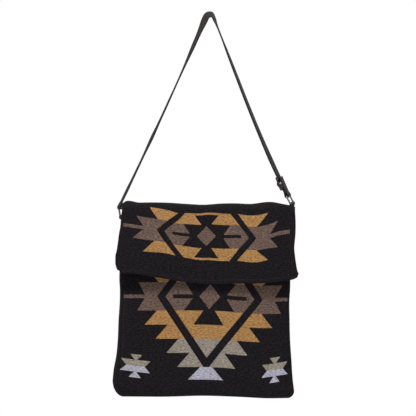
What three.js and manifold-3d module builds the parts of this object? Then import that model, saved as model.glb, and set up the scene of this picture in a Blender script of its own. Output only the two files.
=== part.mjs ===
// Flap shoulder bag of patterned woven cloth, hanging by its strap. Millimetres, +Z up, front towards -Y.
// The origin is the underside of the strap's bend, where a hook or a shoulder carries it.
import * as THREE from "three";
import { mergeVertices } from "three/addons/utils/BufferGeometryUtils.js";
import Module from "manifold-3d";

// Bag body
const strapDrop = 297; // from the carrying point down to the top of the bag
const bagHeight = 307;
const bagTopWidth = 264;
const bagBottomWidth = 290;
const bagDepth = 26;
const cornerRadius = 22;
const mouthDrop = 26; // from the top of the fold down to the pocket's mouth
const clothThickness = 2;
const gussetThickness = 1.8;
const liningThickness = 0.8;
const seamGap = 0.3; // left between pieces that are sewn to each other

// Flap, one cloth with the back panel
const flapLength = 106; // from the fold down to the hem at its sides
const hemSag = 9; // how much lower the hem hangs in the middle
const flapFlare = THREE.MathUtils.degToRad(4);
const foldWidth = 253;
const flapWidth = 280; // where the sides have come out past the fold
const flapHemWidth = 290;
const flapShoulder = 20; // from the end of the fold down to that width
const foldRise = 12;
const flapClearance = 1.4; // between the flap and the pattern on the front panel
const hemCornerRadius = 14;

// Woven pattern
const fieldThickness = 0.5;
const frontPatternDrop = 106; // from the top of the bag down to the pattern's first row
const frontPatternLift = 21; // from the bottom of the bag up to the pattern's foot
const flapPatternDrop = 2.4; // from the end of the fold down to the pattern's first row
const flapPatternLift = 26.4; // from the hem up to the pattern's last row
const frontArmMargin = 5; // from the end of a side arm to the edge of its cloth
const flapArmMargin = 8;
const sideStarInset = 26; // from a side star's middle to the edge of the panel
const sideStarLift = 60; // from the bottom of the bag up to a side star's top

// Strap and its fittings
const strapWidth = 18;
const strapThickness = 2.2;
const strapBendRadius = 10;
const strapBendTurn = THREE.MathUtils.degToRad(25); // how far the strap lies over on its side at the bend
const bagOffset = -6; // of the bag's middle from the carrying point, to the right
const strapTail = 32; // length doubled back at each end
const ringOpeningHeight = 12;
const ringWire = 3;
const ringSideGap = 0.8; // between the strap's edges and the ring's sides
const leftBarDrop = 17; // from the top of the bag down to the rings' lower bars
const rightBarDrop = 1;
const leftRingTwist = THREE.MathUtils.degToRad(8);
const rightRingTwist = THREE.MathUtils.degToRad(-15);
const leftRingLeanShare = 0.1; // how much of the strap's lean a ring takes up
const rightRingLeanShare = 0.4;
const wrapGap = 0.8; // between a ring's bar and the cloth round it
const tabThickness = 1.6;
const tabLength = 26; // sewn length on the gusset
const tabRise = 10; // from the top of the sewn length up to the ring's lower bar, at least
const adjusterRise = 20; // from the right ring's upper bar up to the slide's middle bar
const adjusterPlate = 2;
const adjusterBar = 2.6;
const adjusterSlot = 7.4;

// Colours
const black = new THREE.Color(0x1d1a1d);
const taupe = new THREE.Color(0x6f5b52);
const gold = new THREE.Color(0xb08240);
const sage = new THREE.Color(0x8d8a78);
const lilac = new THREE.Color(0xb4b3cb);
const webbing = new THREE.Color(0x242021);
const cotton = new THREE.Color(0x2b2728);
const nickel = new THREE.Color(0xb9b6b0);
const darkMetal = new THREE.Color(0x3a3838);

const clothRoughness = 0.92;
const metalRoughness = 0.3;

const wasm = await Module();
wasm.setup();

const bag = new THREE.Group();
const body = new THREE.Group();
const bottomZ = -strapDrop - bagHeight;
body.position.set(bagOffset, 0, bottomZ);
bag.add(body);

function cloth(color) {
  return new THREE.MeshStandardMaterial({ color, roughness: clothRoughness, metalness: 0 });
}

function metal(color) {
  return new THREE.MeshStandardMaterial({ color, roughness: metalRoughness, metalness: 1 });
}

function addPiece(parent, name, geometry, material) {
  const mesh = new THREE.Mesh(geometry, material);
  mesh.name = name;
  parent.add(mesh);
  return mesh;
}

// Solids for cutting one closed geometry out of another
function solidOf(geometry) {
  const bare = new THREE.BufferGeometry();
  const source = geometry.index ? geometry.toNonIndexed() : geometry;
  bare.setAttribute("position", source.getAttribute("position"));
  const merged = mergeVertices(bare, 1e-4);
  return new wasm.Manifold(
    new wasm.Mesh({
      numProp: 3,
      vertProperties: merged.getAttribute("position").array,
      triVerts: new Uint32Array(merged.index.array),
    }),
  );
}

function geometryOf(solid) {
  const mesh = solid.getMesh();
  const geometry = new THREE.BufferGeometry();
  geometry.setAttribute("position", new THREE.BufferAttribute(mesh.vertProperties, mesh.numProp));
  geometry.setIndex(new THREE.BufferAttribute(mesh.triVerts, 1));
  geometry.computeVertexNormals();
  return geometry;
}

// A plate standing in the XZ plane: its back face at backY, its front face a thickness nearer to -Y
function plate(shape, thickness, backY) {
  const geometry = new THREE.ExtrudeGeometry(shape, { depth: thickness, bevelEnabled: false });
  geometry.rotateX(Math.PI / 2);
  geometry.translate(0, backY, 0);
  return geometry;
}

// The bag's outline: half its width at a height above the bottom, drawn in by an inset all round
const flarePower = 3; // the sides hang nearly upright and flare out low down
function halfWidthAt(height, inset) {
  const flare = Math.max(0, 1 - height / bagHeight) ** flarePower;
  const side = (bagTopWidth + (bagBottomWidth - bagTopWidth) * flare) / 2 - inset;
  const radius = cornerRadius - inset;
  const below = inset + radius - height;
  if (below <= 0) return side;
  return side - radius + Math.sqrt(Math.max(0, radius * radius - below * below));
}

const cornerSteps = 6;
function cornerHeights(inset) {
  const radius = cornerRadius - inset;
  return Array.from({ length: cornerSteps + 1 }, (_, i) => {
    return inset + radius * (1 - Math.cos((i / cornerSteps) * (Math.PI / 2)));
  });
}

// Heights of an outline's points from the bottom up: its corner, then its flared side
const sideSteps = 5;
function edgeHeights(inset, top) {
  const corner = cornerHeights(inset);
  const side = Array.from({ length: sideSteps }, (_, i) => {
    return THREE.MathUtils.lerp(corner.at(-1), top, (i + 1) / sideSteps);
  });
  return [...corner, ...side];
}

// The right edge from the bottom up, then the whole outline from top left round to top right
function rightEdge(inset, top) {
  const heights = edgeHeights(inset, top);
  return heights.map((height) => new THREE.Vector2(halfWidthAt(height, inset), height));
}

function roundOutline(inset, top) {
  const right = rightEdge(inset, top);
  const left = right.map((p) => new THREE.Vector2(-p.x, p.y)).reverse();
  return [...left, ...right];
}

const mouthHeight = bagHeight - mouthDrop;
const panelInset = gussetThickness + seamGap;
const frontFace = -bagDepth / 2;

function gussetGeometry() {
  const outer = roundOutline(0, mouthHeight);
  const inner = roundOutline(gussetThickness, mouthHeight).reverse();
  return plate(new THREE.Shape([...outer, ...inner]), bagDepth, bagDepth / 2);
}

function frontPanelGeometry() {
  const shape = new THREE.Shape(roundOutline(panelInset, mouthHeight));
  return plate(shape, clothThickness, frontFace + clothThickness);
}

// The pocket's lining: one thin pouch, open at the mouth
function liningGeometry() {
  const depth = bagDepth - 2 * (clothThickness + seamGap);
  const outerInset = panelInset;
  const innerInset = panelInset + liningThickness;
  const outer = plate(new THREE.Shape(roundOutline(outerInset, mouthHeight)), depth, depth / 2);
  const hollowDepth = depth - 2 * liningThickness;
  const hollow = plate(new THREE.Shape(roundOutline(innerInset, bagHeight)), hollowDepth, hollowDepth / 2);
  return geometryOf(solidOf(outer).subtract(solidOf(hollow)));
}

// A closed sheet between two grids of points, outer and inner, with its four edges walled
function sheetBetween(outer, inner) {
  const rows = outer.length;
  const columns = outer[0].length;
  const positions = [];
  for (const grid of [outer, inner]) {
    for (const row of grid) {
      for (const p of row) positions.push(p.x, p.y, p.z);
    }
  }
  const at = (side, i, j) => side * rows * columns + i * columns + j;
  const faces = [];
  const quad = (a, b, c, d) => faces.push(a, b, c, a, c, d);
  for (let i = 0; i + 1 < rows; i++) {
    for (let j = 0; j + 1 < columns; j++) {
      quad(at(0, i, j), at(0, i, j + 1), at(0, i + 1, j + 1), at(0, i + 1, j));
      quad(at(1, i, j), at(1, i + 1, j), at(1, i + 1, j + 1), at(1, i, j + 1));
    }
    const last = columns - 1;
    quad(at(0, i, 0), at(0, i + 1, 0), at(1, i + 1, 0), at(1, i, 0));
    quad(at(0, i, last), at(1, i, last), at(1, i + 1, last), at(0, i + 1, last));
  }
  for (let j = 0; j + 1 < columns; j++) {
    const last = rows - 1;
    quad(at(0, 0, j), at(1, 0, j), at(1, 0, j + 1), at(0, 0, j + 1));
    quad(at(0, last, j), at(0, last, j + 1), at(1, last, j + 1), at(1, last, j));
  }
  const geometry = new THREE.BufferGeometry();
  geometry.setAttribute("position", new THREE.Float32BufferAttribute(positions, 3));
  geometry.setIndex(faces);
  geometry.computeVertexNormals();
  return geometry;
}

// Back panel and flap: one cloth that rises at the back, turns over the mouth and hangs down the front
const backMiddle = bagDepth / 2 - clothThickness / 2;
const flapMiddle = frontFace - seamGap - fieldThickness - flapClearance - clothThickness / 2;
const foldHeight = bagHeight - clothThickness / 2 - foldRise; // where the cloth leaves its straight runs
const flapDirection = new THREE.Vector2(-Math.sin(flapFlare), -Math.cos(flapFlare));
const flapNormal = new THREE.Vector2(-Math.cos(flapFlare), Math.sin(flapFlare));
const foldSteps = 12;
const shoulderSteps = 4;
const hemSteps = 4;

// Half the flap's width at a run down from the end of the fold
function flapHalfWidth(run) {
  const spread = Math.sin(Math.min(1, run / flapShoulder) * (Math.PI / 2));
  const lower = Math.max(0, run - flapShoulder) / (flapLength - flapShoulder);
  return (foldWidth + (flapWidth - foldWidth) * spread + (flapHemWidth - flapWidth) * lower) / 2;
}

function backAndFlapRows() {
  const rows = [];
  const backNormal = new THREE.Vector2(1, 0);
  for (const height of edgeHeights(panelInset, mouthHeight - foldRise)) {
    const half = halfWidthAt(height, panelInset);
    rows.push({ y: backMiddle, z: height, normal: backNormal, half, sag: 0 });
  }
  const foldMiddle = (backMiddle + flapMiddle) / 2;
  const foldReach = (backMiddle - flapMiddle) / 2;
  for (let i = 0; i <= foldSteps; i++) {
    const angle = (i / foldSteps) * Math.PI;
    const slope = new THREE.Vector2(foldRise * Math.cos(angle), foldReach * Math.sin(angle)).normalize();
    rows.push({
      y: foldMiddle + foldReach * Math.cos(angle),
      z: foldHeight + foldRise * Math.sin(angle),
      normal: i === foldSteps ? flapNormal : slope,
      half: foldWidth / 2,
      sag: 0,
    });
  }
  const flapRow = (run, half) => {
    const sag = hemSag * (run / flapLength);
    const y = flapMiddle + flapDirection.x * run;
    const z = foldHeight + flapDirection.y * run;
    rows.push({ y, z, normal: flapNormal, half, sag });
  };
  for (let i = 1; i <= shoulderSteps; i++) {
    const run = (flapShoulder * i) / shoulderSteps;
    flapRow(run, flapHalfWidth(run));
  }
  for (let i = 0; i <= hemSteps; i++) {
    const angle = (i / hemSteps) * (Math.PI / 2);
    const run = flapLength - hemCornerRadius * (1 - Math.sin(angle));
    flapRow(run, flapHalfWidth(run) - hemCornerRadius * (1 - Math.cos(angle)));
  }
  return rows;
}

const sheetColumns = 12;
function backAndFlapGeometry() {
  const outer = [];
  const inner = [];
  for (const row of backAndFlapRows()) {
    const outerRow = [];
    const innerRow = [];
    for (let j = 0; j <= sheetColumns; j++) {
      const across = (2 * j) / sheetColumns - 1;
      const sag = row.sag * (1 - across * across);
      const y = row.y + flapDirection.x * sag;
      const z = row.z + flapDirection.y * sag;
      const offset = row.normal.clone().multiplyScalar(clothThickness / 2);
      outerRow.push(new THREE.Vector3(row.half * across, y + offset.x, z + offset.y));
      innerRow.push(new THREE.Vector3(row.half * across, y - offset.x, z - offset.y));
    }
    outer.push(outerRow);
    inner.push(innerRow);
  }
  return sheetBetween(inner, outer);
}

// The woven pattern, as half widths on a chart. Heights are counted in rows down from a medallion's middle
const frontChartWidth = 264; // the bag's width for which the chart is drawn
const flapChartWidth = 292;
const medallionRowCount = 2; // above and below the middle
const goldRowCount = 3; // from the middle down to the end of the front's gold rows
const footRowCount = 6; // from the middle down to the foot of the front's point
const starTip = 115;
const starNotch = 103;
const bandOuterMiddle = 84;
const bandOuterStep = 16;
const bandInnerMiddle = 71;
const bandInnerStep = 16.35;
const toothWidth = 18.5; // how far each row's tooth reaches past the row below
const goldTop = 83.5; // half width of the first gold row at its top
const slitShare = 0.14; // half a slit's height, as a share of a row
const slitEnd = 58;
const hourglassWaist = 27;
const hourglassReach = 39.5;
const diamondHalfWidth = 16.3;
const diamondShare = 0.9;
const innerNeck = 8.7;
const flapTriangle = 19.5;
const frontTriangle = 24;
const stripShare = 0.17; // the thin line that closes the flap's gold rows

const bandOuter = (row) => bandOuterMiddle - bandOuterStep * row;
const bandInner = (row) => bandInnerMiddle - bandInnerStep * row;
const toothTop = (row) => goldTop - toothWidth * (row - 1);
const toothTip = (row) => goldTop + toothWidth - toothWidth * (row - 1);
const mirrored = (points) => points.map(([x, row]) => [-x, row]).reverse();
const upended = (points) => points.map(([x, row]) => [x, -row]).reverse();
const wholeOf = (half) => [...half, ...mirrored(half)];

const bandTipRow = bandInnerMiddle / bandInnerStep;
// One side of a medallion, with its arm out to the cloth's edge
const starOutline = (armEnd) => [
  [bandOuter(0), 0],
  [bandOuter(1), 1],
  [starTip, 1],
  [starNotch, slitShare],
  [armEnd, slitShare],
  [armEnd, -slitShare],
  [starNotch, -slitShare],
  [starTip, -1],
  [bandOuter(1), -1],
];
const halfHexagon = [
  [bandInner(0), 0],
  [bandInner(1), -1],
  [hourglassReach, -1],
  [hourglassWaist, -slitShare],
  [slitEnd, -slitShare],
  [slitEnd, slitShare],
  [hourglassWaist, slitShare],
  [hourglassReach, 1],
  [bandInner(1), 1],
];
const diamond = [
  [0, diamondShare],
  [diamondHalfWidth, 0],
  [0, -diamondShare],
  [-diamondHalfWidth, 0],
];
const cornerTooth = [
  [bandOuter(1), 1],
  [bandOuter(2), 2],
  [toothTip(1), 2],
  [toothTop(1), 1],
];
const closedGoldRow = wholeOf([
  [bandInner(2), 2],
  [bandInner(1), 1],
  [innerNeck, 1],
  [flapTriangle, 2 - stripShare],
]);
const twoTeeth = (row) => [
  [bandOuter(row), row],
  [bandOuter(row + 2), row + 2],
  [toothTip(row + 1), row + 2],
  [toothTop(row + 1), row + 1],
  [toothTip(row), row + 1],
  [toothTop(row), row],
];
const goldHeart = wholeOf([
  [bandInner(goldRowCount), goldRowCount],
  [bandInner(1), 1],
  [innerNeck, 1],
  [frontTriangle, 2],
]);
const sagePoint = [
  [-bandInner(goldRowCount), goldRowCount],
  [0, bandTipRow],
  [bandInner(goldRowCount), goldRowCount],
];
const foot = wholeOf([
  [toothTip(footRowCount - 1), footRowCount],
  [toothTop(footRowCount - 1), footRowCount - 1],
]);

function fieldShape(points, chartScale, rowHeight, middleX, middleZ) {
  const corners = points.map(([x, row]) => {
    return new THREE.Vector2(middleX + x * chartScale, middleZ - row * rowHeight);
  });
  if (THREE.ShapeUtils.area(corners) < 0) corners.reverse();
  return new THREE.Shape(corners);
}

// Adds one woven field, or a left and right pair of them
function fieldAdder(parent, prefix, chartScale, rowHeight, middleZ, backY) {
  const add = (name, points, color) => {
    const shape = fieldShape(points, chartScale, rowHeight, 0, middleZ);
    addPiece(parent, `${prefix}_${name}`, plate(shape, fieldThickness, backY), cloth(color));
  };
  const addPair = (name, points, color) => {
    add(`left_${name}`, mirrored(points), color);
    add(`right_${name}`, points, color);
  };
  return { add, addPair };
}

function addMedallion({ add, addPair }, armEnd) {
  addPair("star_field", starOutline(armEnd), taupe);
  addPair("half_hexagon_field", halfHexagon, taupe);
  add("diamond_field", diamond, taupe);
  addPair("upper_gold_tooth_field", upended(cornerTooth), gold);
  add("upper_gold_row_field", upended(closedGoldRow), gold);
}

// Side stars near the front panel's lower corners, in millimetres below their top
const starCap = 8.7;
const starNeck = 1.5;
const starNeckDrop = 8.5;
const starArm = 22.5;
const starWaist = 15.6;
const starWaistDrop = 20;
const starFootArm = 23.4;
const starFootDrop = 29.5;
const starBase = 9.7;
const starHeight = 38.5;
const starUpper = wholeOf([
  [starWaist, starWaistDrop],
  [starArm, starNeckDrop],
  [starNeck, starNeckDrop],
  [starCap, 0],
]);
const starLower = wholeOf([
  [starBase, starHeight],
  [starNeck, starFootDrop],
  [starFootArm, starFootDrop],
  [starWaist, starWaistDrop],
]);

function addSideStar(side, direction) {
  const middleX = direction * (halfWidthAt(sideStarLift, panelInset) - sideStarInset);
  const shapes = { upper: [starUpper, sage], lower: [starLower, lilac] };
  for (const [part, [points, color]] of Object.entries(shapes)) {
    const shape = fieldShape(points, 1, 1, middleX, sideStarLift);
    const geometry = plate(shape, fieldThickness, frontFace - seamGap);
    addPiece(body, `front_${side}_side_star_${part}_field`, geometry, cloth(color));
  }
}

function addFrontPattern() {
  const scale = bagTopWidth / frontChartWidth;
  const rowHeight = (bagHeight - frontPatternDrop - frontPatternLift) / (medallionRowCount + footRowCount);
  const middleZ = frontPatternLift + footRowCount * rowHeight;
  const adder = fieldAdder(body, "front", scale, rowHeight, middleZ, frontFace - seamGap);
  addMedallion(adder, (halfWidthAt(middleZ, panelInset) - frontArmMargin) / scale);
  adder.addPair("lower_gold_teeth_field", twoTeeth(1), gold);
  adder.add("gold_heart_field", goldHeart, gold);
  adder.addPair("sage_teeth_field", twoTeeth(goldRowCount), sage);
  adder.add("sage_point_field", sagePoint, sage);
  adder.add("lilac_foot_field", foot, lilac);
  addSideStar("left", -1);
  addSideStar("right", 1);
}

function addFlapPattern() {
  const flap = new THREE.Group();
  flap.position.set(0, flapMiddle, foldHeight);
  flap.rotation.x = -flapFlare;
  body.add(flap);
  const scale = flapWidth / flapChartWidth;
  const rowHeight = (flapLength - flapPatternDrop - flapPatternLift) / (2 * medallionRowCount);
  const middleDrop = flapPatternDrop + medallionRowCount * rowHeight;
  const adder = fieldAdder(flap, "flap", scale, rowHeight, -middleDrop, -clothThickness / 2 - seamGap);
  addMedallion(adder, (flapHalfWidth(middleDrop) - flapArmMargin) / scale);
  adder.addPair("lower_gold_tooth_field", cornerTooth, gold);
  adder.add("lower_gold_row_field", closedGoldRow, gold);
}

// A band of one thickness swept along stations, each with its point and the direction of its width
function bandGeometry(stations, width, thickness) {
  const outer = [];
  const inner = [];
  stations.forEach((station, i) => {
    const before = stations[Math.max(0, i - 1)].point;
    const after = stations[Math.min(stations.length - 1, i + 1)].point;
    const along = after.clone().sub(before).normalize();
    const across = station.across.clone().addScaledVector(along, -station.across.dot(along)).normalize();
    const out = new THREE.Vector3().crossVectors(along, across).multiplyScalar(thickness / 2);
    const edges = [-1, 1].map((side) => station.point.clone().addScaledVector(across, (side * width) / 2));
    outer.push(edges.map((p) => p.clone().add(out)));
    inner.push(edges.map((p) => p.clone().sub(out)));
  });
  return sheetBetween(inner, outer);
}

// How far out the middle of a tab's inner (0) or outer (1) layer lies, at a height on the gusset
function tabFace(layer, height) {
  const step = tabThickness + seamGap;
  return halfWidthAt(height, 0) + seamGap + tabThickness / 2 + layer * step;
}

// Rings stand on their tabs and lean towards the strap's bend
const ringBarHeight = (ringOpeningHeight + ringWire) / 2;
const ringOpeningWidth = strapWidth + 2 * ringSideGap;
const bendRise = (strapWidth * Math.sin(strapBendTurn) + strapThickness * Math.cos(strapBendTurn)) / 2;
const bendCentre = new THREE.Vector3(0, 0, bendRise - strapBendRadius);

// The angle from the top of the strap's bend at which a straight run from a point meets it
function bendContact(point, direction) {
  const reach = point.clone().sub(bendCentre);
  const base = Math.atan2(reach.x, reach.z);
  return base - direction * Math.acos(strapBendRadius / Math.hypot(reach.x, reach.z));
}

function onBend(angle) {
  const arm = new THREE.Vector3(Math.sin(angle), 0, Math.cos(angle));
  return bendCentre.clone().addScaledVector(arm, strapBendRadius);
}

// A frame on a bar: Y along the bar, Z as near to the lead as the bar lets it be
function barFrame(middle, bar, lead) {
  const rise = lead.clone().addScaledVector(bar, -lead.dot(bar)).normalize();
  const side = new THREE.Vector3().crossVectors(bar, rise);
  return new THREE.Matrix4().makeBasis(side, bar, rise).setPosition(middle);
}

function ringEnd(direction, barHeight, twist, leanShare) {
  const tabMiddle = (tabFace(0, mouthHeight) + tabFace(1, mouthHeight)) / 2;
  const lowerBar = new THREE.Vector3(bagOffset + direction * tabMiddle, 0, bottomZ + barHeight);
  const pull = onBend(bendContact(lowerBar, direction)).sub(lowerBar);
  const group = new THREE.Group();
  group.rotation.set(0, leanShare * Math.atan2(pull.x, pull.z), twist);
  const upright = new THREE.Vector3(0, 0, 1).applyEuler(group.rotation);
  const bar = new THREE.Vector3(0, 1, 0).applyEuler(group.rotation);
  group.position.copy(lowerBar).addScaledVector(upright, ringBarHeight);
  const upperBar = lowerBar.clone().addScaledVector(upright, 2 * ringBarHeight);
  const contactAngle = bendContact(upperBar, direction);
  const tabFrame = barFrame(lowerBar, bar, new THREE.Vector3(0, 0, 1));
  const strapFrame = barFrame(upperBar, bar, onBend(contactAngle).sub(upperBar));
  return { group, direction, barHeight, contactAngle, tabFrame, strapFrame };
}

const leftEnd = ringEnd(-1, bagHeight - leftBarDrop, leftRingTwist, leftRingLeanShare);
const rightEnd = ringEnd(1, bagHeight - rightBarDrop, rightRingTwist, rightRingLeanShare);

function roundedRectangle(width, height, radius, path) {
  const x = width / 2;
  const y = height / 2;
  path.moveTo(x, radius - y);
  path.absarc(x - radius, y - radius, radius, 0, Math.PI / 2);
  path.absarc(radius - x, y - radius, radius, Math.PI / 2, Math.PI);
  path.absarc(radius - x, radius - y, radius, Math.PI, 1.5 * Math.PI);
  path.absarc(x - radius, radius - y, radius, 1.5 * Math.PI, 2 * Math.PI);
  return path;
}

// Stands a flat fitting in its ring frame: drawn width along Y, drawn height along Z
const fittingStance = new THREE.Matrix4().makeBasis(
  new THREE.Vector3(0, 1, 0),
  new THREE.Vector3(0, 0, 1),
  new THREE.Vector3(1, 0, 0),
);

const ringCorner = 2;
const ringBevel = 0.8;
function ringGeometry() {
  const outerWidth = ringOpeningWidth + 2 * (ringWire - ringBevel);
  const outerHeight = ringOpeningHeight + 2 * (ringWire - ringBevel);
  const outerCorner = ringCorner + ringWire - ringBevel;
  const shape = roundedRectangle(outerWidth, outerHeight, outerCorner, new THREE.Shape());
  const holeWidth = ringOpeningWidth + 2 * ringBevel;
  const holeHeight = ringOpeningHeight + 2 * ringBevel;
  shape.holes.push(roundedRectangle(holeWidth, holeHeight, ringCorner + ringBevel, new THREE.Path()));
  const depth = ringWire - 2 * ringBevel;
  const geometry = new THREE.ExtrudeGeometry(shape, {
    depth,
    curveSegments: 4,
    bevelThickness: ringBevel,
    bevelSize: ringBevel,
    bevelSegments: 2,
  });
  geometry.translate(0, 0, -depth / 2);
  return geometry.applyMatrix4(fittingStance);
}

const adjusterHeight = 3 * adjusterBar + 2 * adjusterSlot;
const adjusterCorner = 1.5;
const adjusterBevel = 0.4;
function adjusterGeometry() {
  const width = ringOpeningWidth + 2 * (adjusterBar - adjusterBevel);
  const height = adjusterHeight - 2 * adjusterBevel;
  const shape = roundedRectangle(width, height, adjusterCorner, new THREE.Shape());
  for (const side of [-1, 1]) {
    const slotWidth = ringOpeningWidth + 2 * adjusterBevel;
    const slotHeight = adjusterSlot + 2 * adjusterBevel;
    const slot = roundedRectangle(slotWidth, slotHeight, adjusterCorner, new THREE.Path());
    const lift = (side * (adjusterSlot + adjusterBar)) / 2;
    const points = slot.getPoints(3).map((p) => new THREE.Vector2(p.x, p.y + lift));
    shape.holes.push(new THREE.Path(points.slice(0, -1)));
  }
  const depth = adjusterPlate - 2 * adjusterBevel;
  const geometry = new THREE.ExtrudeGeometry(shape, {
    depth,
    curveSegments: 3,
    bevelThickness: adjusterBevel,
    bevelSize: adjusterBevel,
    bevelSegments: 1,
  });
  geometry.translate(0, 0, -depth / 2);
  return geometry.applyMatrix4(fittingStance);
}

// Half a turn round a ring's bar, in the bar's frame: over the bar for a tab, under it for the strap
const wrapSteps = 8;
function wrapPoints(radius, over) {
  return Array.from({ length: wrapSteps + 1 }, (_, i) => {
    const angle = (i / wrapSteps) * Math.PI;
    return new THREE.Vector3(radius * Math.cos(angle), 0, over * radius * Math.sin(angle));
  });
}

function inFrame(frame, local) {
  const across = new THREE.Vector3(0, 1, 0).transformDirection(frame);
  return { point: local.clone().applyMatrix4(frame), across };
}

// A tab: sewn flat on the gusset, then twisted up round the ring's lower bar and back down
function tabGeometry(end) {
  const radius = ringWire / 2 + wrapGap + tabThickness / 2;
  const wrap = wrapPoints(radius, 1);
  if (end.direction > 0) wrap.reverse();
  const straight = new THREE.Vector3(0, 1, 0);
  const sewnTop = Math.min(mouthHeight, end.barHeight - tabRise);
  const sewn = (layer, height) => {
    const x = bagOffset + end.direction * tabFace(layer, height);
    return { point: new THREE.Vector3(x, 0, bottomZ + height), across: straight };
  };
  const heights = [sewnTop - tabLength, sewnTop - tabLength / 2, sewnTop];
  const stations = [
    ...heights.map((height) => sewn(0, height)),
    ...wrap.map((local) => inFrame(end.tabFrame, local)),
    ...heights.reverse().map((height) => sewn(1, height)),
  ];
  return bandGeometry(stations, strapWidth, tabThickness);
}

// The strap: doubled round the left ring, over its bend, down through the slide, doubled round the right ring
const strapRadius = ringWire / 2 + wrapGap + strapThickness / 2;
const layerOffset = (strapThickness + seamGap) / 2;
const wrapRise = 9; // above a ring's bar, where the two layers have come together
const slideOffset = layerOffset + strapThickness / 2 + seamGap + adjusterPlate / 2;
const overBar = slideOffset + adjusterPlate / 2 + seamGap + strapThickness / 2;
const barMargin = 0.4; // how far the strap lies flat past the slide's middle bar
const slotMargin = 0.2; // how far inside a slot the strap comes back to its own line
const overBarHalf = adjusterBar / 2 + barMargin;
const slotExit = adjusterBar / 2 + adjusterSlot - slotMargin;

// How far the strap is turned about its own line, by share of its length from left to right
const bendStart = 0.47;
const bendEnd = 0.53;
const strapTurns = [
  [0, leftRingTwist],
  [0.31, 0],
  [0.41, THREE.MathUtils.degToRad(11)],
  [bendStart, strapBendTurn],
  [0.51, strapBendTurn],
  [0.57, 0],
  [0.93, THREE.MathUtils.degToRad(10)],
  [1, -rightRingTwist],
];

function strapTurn(share) {
  const next = Math.max(1, strapTurns.findIndex(([place]) => place >= share));
  const [from, first] = strapTurns[next - 1];
  const [to, second] = strapTurns[next];
  return THREE.MathUtils.lerp(first, second, THREE.MathUtils.smoothstep(share, from, to));
}

// The doubled end round a ring, from the tail's tip to where the single strap leads away
function doubledEnd(end) {
  const lead = -end.direction * layerOffset;
  const wrap = wrapPoints(strapRadius, -1);
  if (end.direction < 0) wrap.reverse();
  const points = [
    new THREE.Vector3(-lead, 0, strapTail),
    new THREE.Vector3(-lead, 0, wrapRise),
    ...wrap,
    new THREE.Vector3(lead, 0, wrapRise),
  ];
  return points.map((local) => inFrame(end.strapFrame, local));
}

function throughSlide(end) {
  const side = -end.direction;
  const points = [
    [layerOffset, -slotExit],
    [overBar, -overBarHalf],
    [overBar, overBarHalf],
    [layerOffset, slotExit],
  ];
  return points.map(([x, rise]) => {
    return inFrame(end.strapFrame, new THREE.Vector3(side * x, 0, adjusterRise + rise));
  });
}

const runSteps = 12;
const bendSteps = 14;
function strapGeometry() {
  const left = doubledEnd(leftEnd);
  const right = [...doubledEnd(rightEnd), ...throughSlide(rightEnd)].reverse();
  const middle = [];
  const addRun = (from, to, shareFrom, shareTo) => {
    for (let i = 1; i < runSteps; i++) {
      const along = i / runSteps;
      const share = THREE.MathUtils.lerp(shareFrom, shareTo, along);
      middle.push({ point: from.clone().lerp(to, along), turn: strapTurn(share) });
    }
  };
  addRun(left.at(-1).point, onBend(leftEnd.contactAngle), 0, bendStart);
  for (let i = 0; i <= bendSteps; i++) {
    const angle = THREE.MathUtils.lerp(leftEnd.contactAngle, rightEnd.contactAngle, i / bendSteps);
    const share = THREE.MathUtils.lerp(bendStart, bendEnd, i / bendSteps);
    middle.push({ point: onBend(angle), turn: strapTurn(share) });
  }
  addRun(onBend(rightEnd.contactAngle), right[0].point, bendEnd, 1);
  middle.forEach((station, i) => {
    const before = i > 0 ? middle[i - 1].point : left.at(-1).point;
    const after = i + 1 < middle.length ? middle[i + 1].point : right[0].point;
    const along = after.clone().sub(before).normalize();
    const inward = new THREE.Vector3(0, 1, 0).cross(along);
    station.across = new THREE.Vector3(0, Math.cos(station.turn), 0);
    station.across.addScaledVector(inward, -Math.sin(station.turn));
  });
  return bandGeometry([...left, ...middle, ...right], strapWidth, strapThickness);
}

addPiece(body, "gusset", gussetGeometry(), cloth(black));
addPiece(body, "front_panel", frontPanelGeometry(), cloth(black));
addPiece(body, "back_panel_and_flap", backAndFlapGeometry(), cloth(black));
addPiece(body, "lining", liningGeometry(), cloth(cotton));
addFrontPattern();
addFlapPattern();
for (const [side, end] of [["left", leftEnd], ["right", rightEnd]]) {
  bag.add(end.group);
  addPiece(end.group, `${side}_ring`, ringGeometry(), metal(nickel));
  addPiece(bag, `${side}_tab`, tabGeometry(end), cloth(webbing));
}
addPiece(bag, "strap", strapGeometry(), cloth(webbing));
const slideGroup = new THREE.Group();
slideGroup.applyMatrix4(rightEnd.strapFrame);
bag.add(slideGroup);
const slide = addPiece(slideGroup, "strap_slide", adjusterGeometry(), metal(darkMetal));
slide.position.set(-slideOffset, 0, adjusterRise);

export default bag;
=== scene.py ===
"""Looks of the flap shoulder bag: woven cloth, webbing, metal fittings, light and camera.

Lengths are millimetres until a mesh is made. The front looks towards -Y and +Z is up.
"""

from math import acos, atan2, cos, hypot, pi, radians, sin
from types import SimpleNamespace

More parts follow.
